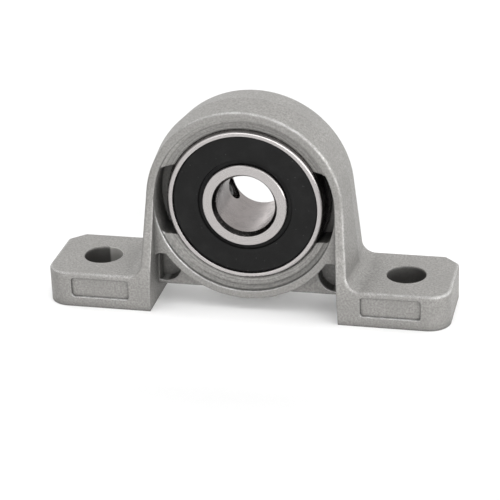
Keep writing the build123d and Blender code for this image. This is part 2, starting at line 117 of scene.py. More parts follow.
# ---- Node graphs ---------------------------------------------------------------------
class Graph:
    """A node tree under construction, with short ways to add and join nodes."""

    def __init__(self, tree: bpy.types.NodeTree) -> None:
        """Starts an empty tree.

        Args:
            tree: The tree to fill. Its nodes are removed.
        """
        self.tree = tree
        self.tree.nodes.clear()

    def node(self, kind: str, inputs: Optional[dict] = None, **settings: object) -> bpy.types.Node:
        """Adds one node.

        Args:
            kind: Blender's type name of the node.
            inputs: Values or sockets for its inputs, by name or number.
            **settings: The node's own properties.

        Returns:
            The new node.
        """
        made = self.tree.nodes.new(kind)
        for name, value in settings.items():
            setattr(made, name, value)
        for key, value in (inputs or {}).items():
            self.feed(made.inputs[key], value)
        return made

    def feed(self, socket: Socket, value: Value) -> None:
        """Joins a socket to another, or sets its value.

        Args:
            socket: The input to feed.
            value: The output that feeds it, or its plain value.
        """
        if isinstance(value, Socket):
            self.tree.links.new(value, socket)
        else:
            socket.default_value = value

    def math(self, operation: str, *values: Value) -> Socket:
        """One arithmetic step on plain numbers; the result's socket."""
        return self.node("ShaderNodeMath", dict(enumerate(values)), operation=operation).outputs[0]

    def product(self, first: Value, *others: Value) -> Socket:
        """Product of numbers.

        Args:
            first: The first number or socket.
            *others: What it is multiplied by.

        Returns:
            The result's socket.
        """
        result = first
        for other in others:
            result = self.math("MULTIPLY", result, other)
        return result

    def where(self, mask: Value, factor: Value) -> Socket:
        """A factor that counts only where a mask is 1, and is 1 elsewhere; its socket."""
        change = self.product(self.math("SUBTRACT", factor, 1.0), mask)
        return self.math("ADD", 1.0, change)

    def vector(self, operation: str, *values: Value) -> Socket:
        """One arithmetic step on vectors; the result's socket."""
        made = self.node("ShaderNodeVectorMath", dict(enumerate(values)), operation=operation)
        return made.outputs["Value" if operation in ("LENGTH", "DOT_PRODUCT") else "Vector"]

    def axes(self, vector: Value) -> list[Socket]:
        """The three numbers of a vector, as sockets."""
        return list(self.node("ShaderNodeSeparateXYZ", {0: vector}).outputs)

    def joined(self, x: Value, y: Value = 0.0, z: Value = 0.0) -> Socket:
        """A vector from three numbers; its socket."""
        return self.node("ShaderNodeCombineXYZ", {"X": x, "Y": y, "Z": z}).outputs[0]

    def grey(self, value: Value) -> Socket:
        """A vector that holds one number three times; its socket."""
        return self.joined(value, value, value)

    def span(self, value: Value, low: float, high: float, to_low: float = 0.0,
             to_high: float = 1.0) -> Socket:
        """Maps a number from one span to another, smoothly and clamped.

        Args:
            value: The number to map.
            low: Where the first span starts.
            high: Where the first span ends.
            to_low: What the start is mapped to.
            to_high: What the end is mapped to.

        Returns:
            The result's socket.
        """
        made = self.node(
            "ShaderNodeMapRange",
            {"Value": value, "From Min": low, "From Max": high, "To Min": to_low, "To Max": to_high},
            interpolation_type="SMOOTHSTEP",
        )
        return made.outputs["Result"]

    def noise(self, place: Value, scale: float, detail: float = 3.0, roughness: float = 0.55) -> Socket:
        """Cloudy noise from 0 to 1.

        Args:
            place: Where it is read.
            scale: How many clouds there are to a unit of length.
            detail: How many finer layers it has.
            roughness: How strong the finer layers are.

        Returns:
            The noise's socket.
        """
        made = self.node(
            "ShaderNodeTexNoise",
            {"Vector": place, "Scale": scale, "Detail": detail, "Roughness": roughness},
        )
        return made.outputs["Fac"]

    def scatter(self, place: Value, scale: float) -> Socket:
        """Distance to the nearest of many scattered points; the result's socket."""
        made = self.node("ShaderNodeTexVoronoi", {"Vector": place, "Scale": scale}, feature="F1")
        return made.outputs["Distance"]

    def openness(self, reach: float, samples: int = 8, **settings: bool) -> Socket:
        """How open the space round a point is, from 0 to 1.

        Args:
            reach: How far away a wall still counts, in metres.
            samples: Number of directions that are tried.
            **settings: The node's own switches.

        Returns:
            The result's socket.
        """
        made = self.node("ShaderNodeAmbientOcclusion", {"Distance": reach}, samples=samples, **settings)
        return made.outputs["AO"]

    def mix(self, share: Value, first: Value, second: Value) -> Socket:
        """Blend of two colours.

        Args:
            share: Share of the second colour.
            first: The first colour.
            second: The second colour.

        Returns:
            The result's socket.
        """
        made = self.node("ShaderNodeMix", data_type="RGBA", clamp_factor=True)
        self.feed(made.inputs["Factor"], share)
        self.feed(made.inputs[6], first)
        self.feed(made.inputs[7], second)
        return made.outputs[2]

    def bump(self, height: Value, depth: float, strength: float, normal: Value) -> Socket:
        """Normal of a surface with fine relief.

        Args:
            height: The relief, from 0 to 1.
            depth: What 1 stands for, in metres.
            strength: How much of the relief shows.
            normal: The normal without it.

        Returns:
            The new normal's socket.
        """
        made = self.node(
            "ShaderNodeBump",
            {"Height": height, "Distance": depth, "Strength": strength, "Normal": normal},
        )
        return made.outputs[0]


# ---- Finishes ------------------------------------------------------------------------
@dataclass(frozen=True)
class Finish:
    """A surface finish: its name, its slot in the record, and the tone of its base."""

    name: str
    slot: Optional[Slot]
    tone: float
    tint: Triple = WHITE

    def material(self) -> bpy.types.Material:
        """Builds the finish.

        Returns:
            A new material with its node tree filled.
        """
        made = bpy.data.materials.new(self.name)
        made.use_nodes = True
        made.diffuse_color = self.tinted()
        graph = Graph(made.node_tree)
        shader = graph.node("ShaderNodeBsdfPrincipled")
        out = graph.node("ShaderNodeOutputMaterial")
        graph.feed(out.inputs["Surface"], shader.outputs["BSDF"])
        self.fill(graph, shader)
        return made

    def fill(self, graph: Graph, shader: bpy.types.Node) -> None:
        """Adds the finish's own nodes; each kind of finish has its own."""
        raise NotImplementedError

    def tinted(self, share: float = 1.0) -> Colour:
        """The finish's own colour, at a share of its brightness."""
        return shade(self.tone * share, self.tint)

    def tones(self, graph: Graph, noise: Value, shares: Pair) -> Socket:
        """The finish's own colour between two shares of its brightness, as a noise goes.

        Args:
            graph: The tree under construction.
            noise: The noise that chooses between them.
            shares: The darkest and the brightest share.

        Returns:
            The colour's socket.
        """
        dark, bright = (self.tinted(share) for share in shares)
        return graph.mix(graph.span(noise, *NOISE_SPAN), dark, bright)

    def place(self, graph: Graph) -> Socket:
        """Position on the piece in millimetres, in the frame in which it was made."""
        coordinates = graph.node("ShaderNodeTexCoord").outputs["Object"]
        return graph.vector("MULTIPLY", coordinates, (PER_MM,) * 3)

    def from_shaft(self, graph: Graph, place: Value) -> Socket:
        """Distance from the shaft axis, in millimetres."""
        offset = graph.vector("SUBTRACT", place, (0.0, 0.0, SHAFT_HEIGHT_MM))
        return graph.vector("LENGTH", graph.vector("MULTIPLY", offset, (1.0, 0.0, 1.0)))

    def softened(self, graph: Graph, radius: float) -> Socket:
        """Normal that is rounded over sharp edges, to a radius in metres."""
        return graph.node("ShaderNodeBevel", {"Radius": radius}, samples=6).outputs[0]

    def near_edge(self, graph: Graph, soft: Value) -> Socket:
        """Mask that is 1 on a sharp edge and 0 away from it.

        Args:
            graph: The tree under construction.
            soft: The normal that is rounded over edges.

        Returns:
            The mask's socket.
        """
        agreement_on_flat, agreement_on_edge = 0.995, 0.86
        true_normal = graph.node("ShaderNodeNewGeometry").outputs["Normal"]
        agreement = graph.vector("DOT_PRODUCT", soft, true_normal)
        return graph.span(agreement, agreement_on_flat, agreement_on_edge)


@dataclass(frozen=True)
class CastZinc(Finish):
    """Die-cast zinc, tumbled: matte grey with a fine sandy grain, worn edges with a painted highlight,
    and painted shade in its hollows.
    """

    metallic: float = 0.72
    roughness: Pair = (0.62, 0.5)
    edge_radius: float = 0.28 * MM

    # The cast skin: sandy grain, shallow pits and broad clouds.
    grain_per_mm: float = 3.7
    grain_depth: float = 0.03 * MM
    grain_strength: float = 0.9
    grain_tones: Pair = (0.8, 1.2)
    pits_per_mm: float = 3.7 / 3
    pit_spread: Pair = (0.16, 0.05)
    pit_share: float = 0.4
    pit_tone: float = 0.5
    pit_relief: float = 0.6
    blotch_per_mm: float = 0.32
    blotch_noise: Pair = (0.35, 0.68)
    blotch_share: float = 0.5
    blotch_tone: float = 0.9

    # Edges that tumbling and handling rub bright, with a painted highlight where they face up; the low
    # feet less than the arch.
    wear_reach: float = 0.48 * MM
    thin_metal: Pair = (0.93, 0.71)
    wear_and_highlight_tone: float = 0.95
    wear_and_highlight_share: float = 0.85
    worn_gloss: float = 0.14
    highlight_side: Triple = (0.35, -0.2, 0.9)
    highlight_facing: Pair = (0.42, 0.75)
    highlight_least: float = 0.03
    scuffs_per_mm: float = 3.7 / 4
    scuff_noise: Pair = (0.38, 0.6)
    scuff_least: float = 0.6
    arch_inside_mm: Pair = (11.9, 12.1)
    foot_top_mm: Pair = (4.9, 6.9)
    foot_wear: float = 0.62

    # Bolt holes: painted shade down the wall, with a painted patch of light on one side of the left one.
    bolt_offset_mm: float = 21.0
    hole_mouth_mm: Pair = (3.1, 3.4)
    hole_wall_mm: Pair = (2.85, 2.7)
    hole_depth_mm: Pair = (4.86, 4.4)
    hole_shade_tone: float = 0.42
    hole_light_side: Triple = (0.66, 0.75, 0.0)
    hole_light_from_mm: Pair = (1.95, 2.15)
    hole_light_wall_mm: Pair = (2.72, 2.66)
    hole_light_tone: float = 1.9

    # Dished faces: rings left by turning the die's core, and an outer cone painted lighter at the top
    # and darker low down, as painted light and shade.
    rings_per_mm: float = 3.2
    ring_tones: Pair = (0.72, 1.22)
    drift_per_mm: float = 0.35
    drift_mm: float = 0.5
    dish_inside_mm: Pair = (10.5, 10.7)
    dish_outside_mm: Pair = (12.3, 12.15)
    dish_step_mm: Pair = (11.3, 11.7)
    cone_light_heights_mm: Pair = (SHAFT_HEIGHT_MM + 6.0, SHAFT_HEIGHT_MM - 9.0)
    cone_light_tones: Pair = (1.38, 0.76)

    # Hollows: painted shade between near walls, in the depths and in the corners.
    shelter_reach: float = 7.0 * MM
    shelter_openness: Pair = (0.4, 0.92)
    shelter_shade_tone: float = 0.68
    hollow_shade_openness: Pair = (0.0, 0.9)
    hollow_reach: float = 1.9 * MM
    hollow_shade_tone: float = 0.32
    corner_reach: float = 0.5 * MM
    corner_shade_tone: float = 0.12

    def off_bolt(self, graph: Graph, place: Value) -> Socket:
        """Distance from the axis of the nearer foot-bolt hole, in millimetres."""
        flat = graph.vector("ABSOLUTE", graph.vector("MULTIPLY", place, (1.0, 1.0, 0.0)))
        return graph.vector("LENGTH", graph.vector("SUBTRACT", flat, (self.bolt_offset_mm, 0.0, 0.0)))

    def ridges(self, graph: Graph) -> Socket:
        """Mask that is 1 on a jutting edge, sharp or rounded, and 0 away from it."""
        depth = graph.openness(self.wear_reach, samples=12, inside=True, only_local=True)
        return graph.span(depth, *self.thin_metal)

    def wear_and_highlight(self, graph: Graph, place: Value, soft: Value) -> Socket:
        """How bright an edge is: rubbed by wear, with a painted highlight most where it faces up.

        Args:
            graph: The tree under construction.
            place: Position in millimetres.
            soft: Normal softened over the edges.

        Returns:
            A mask's socket, 1 where the metal is bright.
        """
        # Painted highlight: edges that face up and to the right are painted brighter than wear alone
        # makes them.
        facing = graph.vector("DOT_PRODUCT", soft, unit(self.highlight_side))
        rubbed = graph.span(facing, *self.highlight_facing, self.highlight_least, 1.0)
        scuff = graph.noise(place, self.scuffs_per_mm)
        scuffed = graph.span(scuff, *self.scuff_noise, self.scuff_least, 1.0)
        outside = graph.span(self.from_shaft(graph, place), *self.arch_inside_mm)
        _, _, height = graph.axes(place)
        reached = graph.span(height, *self.foot_top_mm, self.foot_wear, 1.0)
        off_mouth = graph.span(self.off_bolt(graph, place), *self.hole_mouth_mm)
        return graph.product(self.ridges(graph), outside, off_mouth, rubbed, scuffed, reached)

    def turned(self, graph: Graph, place: Value) -> Socket:
        """Tone of the dished faces: lathe rings, and painted light and shade on the outer cone.

        Args:
            graph: The tree under construction.
            place: Position in millimetres.

        Returns:
            A factor's socket, 1 away from the dished faces.
        """
        radius = self.from_shaft(graph, place)
        drift = graph.product(graph.noise(place, self.drift_per_mm, detail=2.0), self.drift_mm)
        across_rings = graph.joined(graph.math("ADD", radius, drift))
        turning = graph.noise(across_rings, self.rings_per_mm, detail=2.0)
        rings = graph.span(turning, *NOISE_SPAN, *self.ring_tones)
        on_dish = graph.product(
            graph.span(radius, *self.dish_inside_mm), graph.span(radius, *self.dish_outside_mm)
        )
        on_cone = graph.product(on_dish, graph.span(radius, *self.dish_step_mm))
        _, _, height = graph.axes(place)
        # Painted light and shade: the outer cone is lighter at the top and darker low down.
        painted_cone_light = graph.span(height, *self.cone_light_heights_mm, *self.cone_light_tones)
        return graph.product(graph.where(on_dish, rings), graph.where(on_cone, painted_cone_light))

    def painted_shelter_shade(self, graph: Graph) -> Socket:
        """Painted shade between near walls of the casting; 1 in the open."""
        openness = graph.openness(self.shelter_reach, only_local=True)
        return graph.span(openness, *self.shelter_openness, self.shelter_shade_tone, 1.0)

    def painted_hollow_shade(self, graph: Graph, reach: float, colour: Value, deepest: Colour) -> Socket:
        """Darkens a colour in corners and hollows, as painted shade.

        Args:
            graph: The tree under construction.
            reach: How far a hollow's walls may be apart, in metres.
            colour: The colour in the open.
            deepest: The colour at the bottom of a hollow.

        Returns:
            The darkened colour's socket.
        """
        return graph.mix(graph.span(graph.openness(reach), *self.hollow_shade_openness), deepest, colour)

    def painted_hole_shade(self, graph: Graph, place: Value) -> Socket:
        """Mask that grows down the bolt holes, for painted shade on the wall.

        Args:
            graph: The tree under construction.
            place: Position in millimetres.

        Returns:
            The mask's socket.
        """
        _, _, height = graph.axes(place)
        on_wall = graph.span(self.off_bolt(graph, place), *self.hole_wall_mm)
        return graph.product(on_wall, graph.span(height, *self.hole_depth_mm))

    def painted_hole_light(self, graph: Graph, place: Value) -> Socket:
        """Mask of the side of the left foot's hole that is painted lighter, as a painted patch of light.

        Args:
            graph: The tree under construction.
            place: Position in millimetres.

        Returns:
            The mask's socket.
        """
        from_axis = graph.vector("ADD", place, (self.bolt_offset_mm, 0.0, 0.0))
        toward = graph.vector("DOT_PRODUCT", from_axis, self.hole_light_side)
        in_left_hole = graph.math("LESS_THAN", toward, self.hole_mouth_mm[0])
        on_wall = graph.span(self.off_bolt(graph, place), *self.hole_light_wall_mm)
        return graph.product(graph.span(toward, *self.hole_light_from_mm), in_left_hole, on_wall)

    def skin(self, graph: Graph, place: Value, grain: Value, pit: Value) -> Socket:
        """Colour of the bare cast skin.

        Args:
            graph: The tree under construction.
            place: Position in millimetres.
            grain: The sandy grain.
            pit: Mask of the pits.

        Returns:
            The colour's socket.
        """
        blotch = graph.noise(place, self.blotch_per_mm)
        clouded = graph.span(blotch, *self.blotch_noise, 0.0, self.blotch_share)
        sandy = self.tones(graph, grain, self.grain_tones)
        cloudy = graph.mix(clouded, sandy, self.tinted(self.blotch_tone))
        return graph.mix(graph.product(pit, self.pit_share), cloudy, self.tinted(self.pit_tone))

    def shaded_skin(self, graph: Graph, place: Value, clean: Value) -> Socket:
        """Adds lathe rings, painted light and shade on the outer cone, painted shade between walls, in
        hollows, corners and down the bolt holes, and a painted patch of light in the left hole to a
        colour.

        Args:
            graph: The tree under construction.
            place: Position in millimetres.
            clean: The colour of the bare skin.

        Returns:
            The colour's socket.
        """
        # Painted shade between near walls, and painted light and shade on the outer cone.
        tone = graph.product(self.turned(graph, place), self.painted_shelter_shade(graph))
        toned = graph.vector("MULTIPLY", clean, graph.grey(tone))
        # Painted shade in the hollows and in the corners.
        hollow_shaded = self.painted_hollow_shade(graph, self.hollow_reach, toned, self.tinted(self.hollow_shade_tone))
        corner_shaded = self.painted_hollow_shade(graph, self.corner_reach, hollow_shaded, self.tinted(self.corner_shade_tone))
        # Painted shade down the bolt holes, and a painted patch of light on one side of the left one.
        hole_shaded = graph.mix(self.painted_hole_shade(graph, place), corner_shaded, self.tinted(self.hole_shade_tone))
        return graph.mix(self.painted_hole_light(graph, place), hole_shaded, self.tinted(self.hole_light_tone))

    def fill(self, graph: Graph, shader: bpy.types.Node) -> None:
        """Grain, blotches, pits, worn edges with a painted highlight, and painted shade in corners.

        Args:
            graph: The tree under construction.
            shader: The shader that the finish ends in.
        """
        place = self.place(graph)
        grain = graph.noise(place, self.grain_per_mm, detail=4.0, roughness=0.62)
        pit = graph.span(graph.scatter(place, self.pits_per_mm), *self.pit_spread)
        soft = self.softened(graph, self.edge_radius)
        wear_and_highlight = self.wear_and_highlight(graph, place, soft)

        shaded_skin = self.shaded_skin(graph, place, self.skin(graph, place, grain, pit))
        colour = graph.mix(graph.product(wear_and_highlight, self.wear_and_highlight_share), shaded_skin, shade(self.wear_and_highlight_tone))
        graph.feed(shader.inputs["Base Color"], colour)
        shader.inputs["Metallic"].default_value = self.metallic
        rough = graph.span(grain, *NOISE_SPAN, *self.roughness)
        polish = graph.product(wear_and_highlight, self.worn_gloss)
        graph.feed(shader.inputs["Roughness"], graph.math("SUBTRACT", rough, polish))
        relief = graph.math("SUBTRACT", grain, graph.product(pit, self.pit_relief))
        graph.feed(
            shader.inputs["Normal"], graph.bump(relief, self.grain_depth, self.grain_strength, soft)
        )


@dataclass(frozen=True)
class GroundSteel(Finish):
    """Ground bearing steel: fine lines round the shaft, faint smears, painted shade on broken edges, and
    near black on the seat and the bore's lead-in.
    """

    roughness: float = 0.24
    rough_shares: Pair = (1.15, 0.85)
    lines_per_mm: float = 9.0
    line_depth: float = 0.0005 * MM
    line_strength: float = 0.8
    line_tones: Pair = (0.92, 1.05)
    smears_per_mm: float = 0.55
    smear_noise: Pair = (0.45, 0.75)
    smear_share: float = 0.3
    smear_tone: float = 0.8
    haze_noise: Pair = (0.4, 0.8)
    haze: float = 0.08
    edge_radius: float = 0.05 * MM
    edge_share: float = 0.5
    edge_tone: float = 1.4

    # Broken edges of the rings' faces, painted darker than the faces as a dark reflection.
    corner_mm: Pair = (10.14, 10.39)
    rim_mm: Pair = (5.62, 5.67)
    rim_end_mm: float = 5.92
    corner_shade_tone: float = 0.48

    # Zones painted near black: the ball-shaped seat as a painted dark reflection, and the bore's
    # lead-in.
    seat_mm: Pair = (10.5, 10.95)
    lead_in_mm: float = 4.42
    flecks_per_mm: float = 5.0
    fleck_noise: Pair = (0.6, 0.72)
    fleck_least: float = 0.3
    dark_zone_tone: float = 0.05

    # The honed bore, with a painted reflection brighter on one side, and stained by old oil.
    bore_mm: float = 4.03
    bore_light_across_mm: Pair = (-0.403, 4.03)
    bore_light_shares: Pair = (0.3, 0.85)
    bore_tint: Triple = (1.12, 1.0, 0.97)
    stains_per_mm: float = 0.85
    stain_noise: Pair = (0.42, 0.66)
    stain_share: float = 0.52
    stain_tone: float = 0.21

    def bored(self, graph: Graph, place: Value, across: Value) -> Socket:
        """Colour of the honed bore, with a painted reflection that is brighter on one side.

        Args:
            graph: The tree under construction.
            place: Position in millimetres.
            across: Position's distance to the side, in millimetres.

        Returns:
            The colour's socket.
        """
        dim, bright = (shade(self.tone * share, self.bore_tint) for share in self.bore_light_shares)
        clean = graph.mix(graph.span(across, *self.bore_light_across_mm), dim, bright)
        oil = graph.noise(place, self.stains_per_mm, detail=5.0, roughness=0.65)
        stained = graph.span(oil, *self.stain_noise, 0.0, self.stain_share)
        return graph.mix(stained, clean, shade(self.tone * self.stain_tone, self.bore_tint))

    def painted_edge_shade(self, graph: Graph, radius: Value, along: Value) -> Socket:
        """Mask of the outer ring's corners and of the inner ring's front rim, where painted shade
        darkens them.

        Args:
            graph: The tree under construction.
            radius: Distance from the shaft axis, in millimetres.
            along: Distance along the shaft, in millimetres.

        Returns:
            The mask's socket.
        """
        on_rim = graph.product(
            graph.span(radius, *self.rim_mm),
            graph.math("LESS_THAN", radius, self.rim_end_mm),
            graph.math("LESS_THAN", along, 0.0),
        )
        return graph.math("MAXIMUM", graph.span(radius, *self.corner_mm), on_rim)

    def dark_zones(self, graph: Graph, place: Value, radius: Value) -> Socket:
        """Mask of the ball-shaped seat and of the flecked lead-in of the bore, both painted near black.

        Args:
            graph: The tree under construction.
            place: Position in millimetres.
            radius: Distance from the shaft axis, in millimetres.

        Returns:
            The mask's socket.
        """
        flecks = graph.noise(place, self.flecks_per_mm, detail=2.0)
        in_lead_in = graph.product(
            graph.math("GREATER_THAN", radius, self.bore_mm),
            graph.math("LESS_THAN", radius, self.lead_in_mm),
            graph.span(flecks, *self.fleck_noise, 1.0, self.fleck_least),
        )
        return graph.math("MAXIMUM", graph.span(radius, *self.seat_mm), in_lead_in)

    def fill(self, graph: Graph, shader: bpy.types.Node) -> None:
        """Grinding lines, smears, painted shade on broken edges, the bore and the zones painted near
        black.

        Args:
            graph: The tree under construction.
            shader: The shader that the finish ends in.
        """
        place = self.place(graph)
        radius = self.from_shaft(graph, place)
        across, along, _ = graph.axes(place)
        lines = graph.noise(graph.joined(radius, along), self.lines_per_mm, detail=2.0, roughness=0.7)
        smear = graph.noise(place, self.smears_per_mm, detail=4.0)
        soft = self.softened(graph, self.edge_radius)

        smeared = graph.span(smear, *self.smear_noise, 0.0, self.smear_share)
        lined = self.tones(graph, lines, self.line_tones)
        face = graph.mix(smeared, lined, self.tinted(self.smear_tone))
        edge = graph.product(self.near_edge(graph, soft), self.edge_share)
        edged = graph.mix(edge, face, self.tinted(self.edge_tone))
        edge_shaded = graph.mix(
            self.painted_edge_shade(graph, radius, along), edged, self.tinted(self.corner_shade_tone)
        )
        in_bore = graph.math("LESS_THAN", radius, self.bore_mm)
        bored = graph.mix(in_bore, edge_shaded, self.bored(graph, place, across))
        dark_zone = self.dark_zones(graph, place, radius)
        colour = graph.mix(dark_zone, bored, shade(self.dark_zone_tone, self.tint))
        graph.feed(shader.inputs["Base Color"], colour)
        shader.inputs["Metallic"].default_value = 1.0
        least, most = (self.roughness * share for share in self.rough_shares)
        rough = graph.span(lines, *NOISE_SPAN, least, most)
        hazed = graph.span(smear, *self.haze_noise, 0.0, self.haze)
        graph.feed(shader.inputs["Roughness"], graph.math("ADD", rough, hazed))
        graph.feed(
            shader.inputs["Normal"], graph.bump(lines, self.line_depth, self.line_strength, soft)
        )


@dataclass(frozen=True)
class PolishedSteel(Finish):
    """Lapped ball steel with the faintest haze."""

    haze_per_mm: float = 1.6
    haze_tone_noise: Pair = (0.35, 0.7)
    haze_tones: Pair = (0.95, 1.04)
    haze_noise: Pair = (0.3, 0.8)
    roughness: Pair = (0.06, 0.132)

    def fill(self, graph: Graph, shader: bpy.types.Node) -> None:
        """A bright mirror with a trace of grease haze.

        Args:
            graph: The tree under construction.
            shader: The shader that the finish ends in.
        """
        haze = graph.noise(self.place(graph), self.haze_per_mm)
        dim, bright = (self.tinted(share) for share in self.haze_tones)
        colour = graph.mix(graph.span(haze, *self.haze_tone_noise), dim, bright)
        graph.feed(shader.inputs["Base Color"], colour)
        shader.inputs["Metallic"].default_value = 1.0
        graph.feed(shader.inputs["Roughness"], graph.span(haze, *self.haze_noise, *self.roughness))


@dataclass(frozen=True)
class PressedSteel(Finish):
    """Cold-rolled sheet steel, pressed: satin with streaks from rolling."""

    streaks_per_mm: float = 6.0
    streak_stretch: Triple = (0.25, 1.0, 1.0)
    streak_tones: Pair = (0.88, 1.08)
    streak_depth: float = 0.002 * MM
    streak_strength: float = 0.6
    roughness: Pair = (0.42, 0.32)
    edge_radius: float = 0.04 * MM
    edge_share: float = 0.5
    edge_tone: float = 0.8

    def fill(self, graph: Graph, shader: bpy.types.Node) -> None:
        """Rolling streaks and rubbed edges.

        Args:
            graph: The tree under construction.
            shader: The shader that the finish ends in.
        """
        stretched = graph.vector("MULTIPLY", self.place(graph), self.streak_stretch)
        streaks = graph.noise(stretched, self.streaks_per_mm)
        soft = self.softened(graph, self.edge_radius)
        base = self.tones(graph, streaks, self.streak_tones)
        edge = graph.product(self.near_edge(graph, soft), self.edge_share)
        graph.feed(shader.inputs["Base Color"], graph.mix(edge, base, shade(self.edge_tone)))
        shader.inputs["Metallic"].default_value = 1.0
        graph.feed(shader.inputs["Roughness"], graph.span(streaks, *NOISE_SPAN, *self.roughness))
        graph.feed(
            shader.inputs["Normal"], graph.bump(streaks, self.streak_depth, self.streak_strength, soft)
        )


@dataclass(frozen=True)
class MouldedRubber(Finish):
    """Black nitrile rubber, moulded matte, with a faint bloom and specks of dust."""

    grain_per_mm: float = 11.0
    grain_depth: float = 0.006 * MM
    grain_strength: float = 0.7
    grain_tones: Pair = (0.8, 1.2)
    roughness: Pair = (0.66, 0.54)
    specular: float = 0.16
    bloom_per_mm: float = 0.5
    bloom_noise: Pair = (0.4, 0.75)
    bloom_share: float = 0.45
    bloom_tone: float = 0.012
    dust_per_mm: float = 1.1
    dust_spread: Pair = (0.075, 0.03)
    dust_share: float = 0.5
    dust_tone: float = 0.12
    edge_radius: float = 0.06 * MM

    def fill(self, graph: Graph, shader: bpy.types.Node) -> None:
        """Mould grain, bloom and dust.

        Args:
            graph: The tree under construction.
            shader: The shader that the finish ends in.
        """
        place = self.place(graph)
        grain = graph.noise(place, self.grain_per_mm)
        bloom = graph.noise(place, self.bloom_per_mm, detail=4.0)
        speck = graph.span(graph.scatter(place, self.dust_per_mm), *self.dust_spread)
        soft = self.softened(graph, self.edge_radius)
        base = self.tones(graph, grain, self.grain_tones)
        bloomed = graph.span(bloom, *self.bloom_noise, 0.0, self.bloom_share)
        hazed = graph.mix(bloomed, base, shade(self.bloom_tone))
        dusty = graph.mix(graph.product(speck, self.dust_share), hazed, shade(self.dust_tone))
        graph.feed(shader.inputs["Base Color"], dusty)
        graph.feed(shader.inputs["Roughness"], graph.span(grain, *NOISE_SPAN, *self.roughness))
        shader.inputs["Specular IOR Level"].default_value = self.specular
        graph.feed(
            shader.inputs["Normal"], graph.bump(grain, self.grain_depth, self.grain_strength, soft)
        )


@dataclass(frozen=True)
class BlackOxide(Finish):
    """Black-oxide alloy steel, oiled, rubbed bright on the thread crests and at the cup's rim."""

    metallic: float = 0.85
    roughness: Pair = (0.3, 0.46)
    mottle_per_mm: float = 2.4
    mottle_tones: Pair = (0.7, 1.4)
    edge_radius: float = 0.05 * MM
    edge_share: float = 0.55
    edge_tone: float = 0.34
    cup_from_shaft_mm: Pair = (4.42, 4.33)
    cup_tone: float = 0.3

    def fill(self, graph: Graph, shader: bpy.types.Node) -> None:
        """Oil mottle, rubbed edges and the bare rim of the cup.

        Args:
            graph: The tree under construction.
            shader: The shader that the finish ends in.
        """
        place = self.place(graph)
        mottle = graph.noise(place, self.mottle_per_mm, detail=4.0)
        soft = self.softened(graph, self.edge_radius)
        base = self.tones(graph, mottle, self.mottle_tones)
        edge = graph.product(self.near_edge(graph, soft), self.edge_share)
        rubbed = graph.mix(edge, base, shade(self.edge_tone))
        at_cup = graph.span(self.from_shaft(graph, place), *self.cup_from_shaft_mm)
        graph.feed(shader.inputs["Base Color"], graph.mix(at_cup, rubbed, shade(self.cup_tone)))
        shader.inputs["Metallic"].default_value = self.metallic
        graph.feed(shader.inputs["Roughness"], graph.span(mottle, *NOISE_SPAN, *self.roughness))
        graph.feed(shader.inputs["Normal"], soft)


@dataclass(frozen=True)
class WhitePaper(Finish):
    """Floor paper with a painted pool of light: bright under the part and toned down in an oval further
    out.
    """

    roughness: float = 0.7
    specular: float = 0.2
    oval: Triple = (0.55, 1.0, 1.0)
    near: float = 8 * MM
    far: float = 29 * MM
    far_share: float = 0.66
    tooth_per_metre: float = 900.0
    tooth_tone: float = 0.995

    def fill(self, graph: Graph, shader: bpy.types.Node) -> None:
        """Painted light that falls off outwards, and the paper's tooth.

        Args:
            graph: The tree under construction.
            shader: The shader that the finish ends in.
        """
        shader.inputs["Roughness"].default_value = self.roughness
        shader.inputs["Specular IOR Level"].default_value = self.specular
        place = graph.node("ShaderNodeTexCoord").outputs["Object"]
        outward = graph.vector("LENGTH", graph.vector("MULTIPLY", place, self.oval))
        away = graph.span(outward, self.near, self.far)
        lit = graph.mix(away, self.tinted(), self.tinted(self.far_share))
        tooth = graph.noise(place, self.tooth_per_metre, detail=2.0)
        grain = graph.span(tooth, *NOISE_SPAN, self.tooth_tone, 1.0)
        graph.feed(shader.inputs["Base Color"], graph.vector("MULTIPLY", lit, graph.grey(grain)))


# ---- Sub-assemblies ------------------------------------------------------------------
@dataclass
class Dressed:
    """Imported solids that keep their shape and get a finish."""

    finish: Finish
    nodes: tuple[str, ...]

    def build(self) -> list[bpy.types.Object]:
        """Gives every solid its finish.

        Returns:
            The dressed objects.
        """
        material = self.finish.material()
        pieces = []
        for node in self.nodes:
            piece = frame["nodes"][node]
            piece.data.materials.clear()
            piece.data.materials.append(material)
            log.info("dressed %s in %s", node, self.finish.name)
            pieces.append(piece)
        return pieces


@dataclass
class Housing(Dressed):
    """The die-cast body with its feet, legs, arch and ball-shaped seat."""

    finish: Finish = CastZinc(
        "tumbled_cast_zinc", Slot.CAST_ZINC, tone=0.229, tint=(1.024, 1.0, 0.957)
    )
    nodes: tuple[str, ...] = ("housing",)


@dataclass
class Rings(Dressed):
    """Outer and inner ring of the insert."""

    finish: Finish = GroundSteel(
        "ground_ring_steel", Slot.BEARING_STEEL, tone=0.45, tint=(1.05, 1.0, 0.985)
    )
    nodes: tuple[str, ...] = ("outer_ring", "inner_ring")


@dataclass
class Seals(Dressed):
    """Rubber faces of the two seals."""

    finish: Finish = MouldedRubber("moulded_nitrile", Slot.SEAL_RUBBER, tone=0.0042)
    nodes: tuple[str, ...] = ("seal_front", "seal_rear")


@dataclass
class SealCores(Dressed):
    """Steel discs inside the seals."""

    finish: Finish = PressedSteel("seal_core_steel", Slot.CAGE_STEEL, tone=0.5)
    nodes: tuple[str, ...] = ("seal_front_core", "seal_rear_core")


@dataclass
class Balls(Dressed):
    """The seven balls."""

    finish: Finish = PolishedSteel("lapped_ball_steel", Slot.BALL_STEEL, tone=0.75)
    nodes: tuple[str, ...] = tuple(name for name in frame["nodes"] if name.startswith("ball_"))


@dataclass
class Cage(Dressed):
    """Both halves of the pressed cage and its rivets."""

    finish: Finish = PressedSteel("pressed_cage_steel", Slot.CAGE_STEEL, tone=0.55)
    nodes: tuple[str, ...] = tuple(name for name in frame["nodes"] if name.startswith("cage_"))


